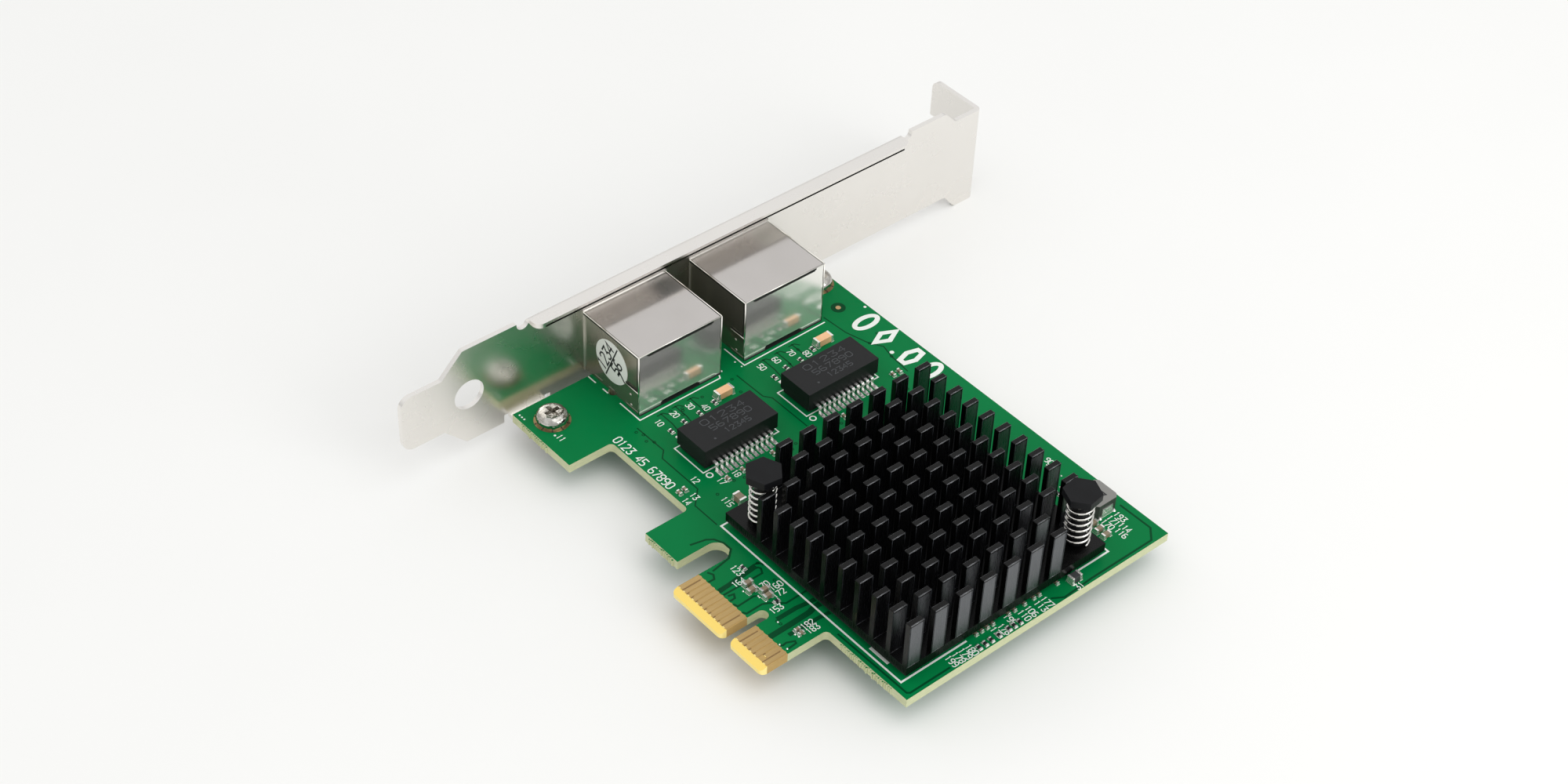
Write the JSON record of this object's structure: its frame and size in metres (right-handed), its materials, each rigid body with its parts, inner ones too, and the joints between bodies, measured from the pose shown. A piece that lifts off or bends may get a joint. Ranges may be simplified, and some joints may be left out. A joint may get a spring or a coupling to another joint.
{
  "type": "network interface card",
  "caption": "Expansion card with shielded network sockets in a full-height bracket, isolation transformers, a finned heatsink on push pins and a card-edge connector.",
  "frame": {"origin": "middle of the key slot's width, at the tip of the card edge, on the component side of the board", "axes": "+X along the board away from the bracket, +Y from the card edge towards the bracket's flange, +Z out of the component side"},
  "size_m": [0.0952, 0.1202, 0.0214],
  "materials": {
    "board": "glass-fibre laminate under green solder mask",
    "gold": "hard gold plating",
    "bracket": "satin nickel-plated steel sheet",
    "screw": "bright nickel-plated steel",
    "shield": "tin-plated steel sheet",
    "insulator": "moulded black plastic",
    "contact": "gold-plated bronze",
    "light": "milky moulded plastic",
    "case": "moulded black epoxy",
    "lead": "tin-plated copper",
    "chip": "moulded black epoxy",
    "pad": "soft silicone pad",
    "heatsink": "black anodised aluminium",
    "pin": "moulded black nylon",
    "spring": "bright steel wire",
    "ferrite": "pressed ferrite",
    "plating": "tin plating and solder",
    "orange_ceramic": "orange ceramic",
    "brown_ceramic": "brown ceramic",
    "resistor": "black glaze",
    "crystal_can": "pressed metal can",
    "sticker": "white paper label with a black line"
  },
  "bodies": {
    "root": {"circuit_board": "board", "edge_contacts_front": "gold", "edge_contacts_back": "gold", "io_bracket": "bracket", "bracket_screws": "screw", "jack_shield_left": "shield", "jack_shield_right": "shield", "jack_housing_left": "insulator", "jack_housing_right": "insulator", "jack_contacts_left": "contact", "jack_contacts_right": "contact", "link_lights_left": "light", "link_lights_right": "light", "transformer_case_left": "case", "transformer_case_right": "case", "transformer_leads_left": "lead", "transformer_leads_right": "lead", "memory_chip_leads": "lead", "controller_chip": "chip", "memory_chip": "chip", "voltage_regulator": "chip", "thermal_pad": "pad", "heatsink": "heatsink", "push_pins": "pin", "push_pin_springs": "spring", "power_inductor": "ferrite", "ferrite_bead": "ferrite", "inductor_terminals": "plating", "capacitor_end_caps": "plating", "resistor_end_caps": "plating", "isolation_capacitors": "orange_ceramic", "ceramic_capacitors": "brown_ceramic", "chip_resistors": "resistor", "crystal": "crystal_can", "inspection_sticker": "sticker"}
  },
  "joints": []
}
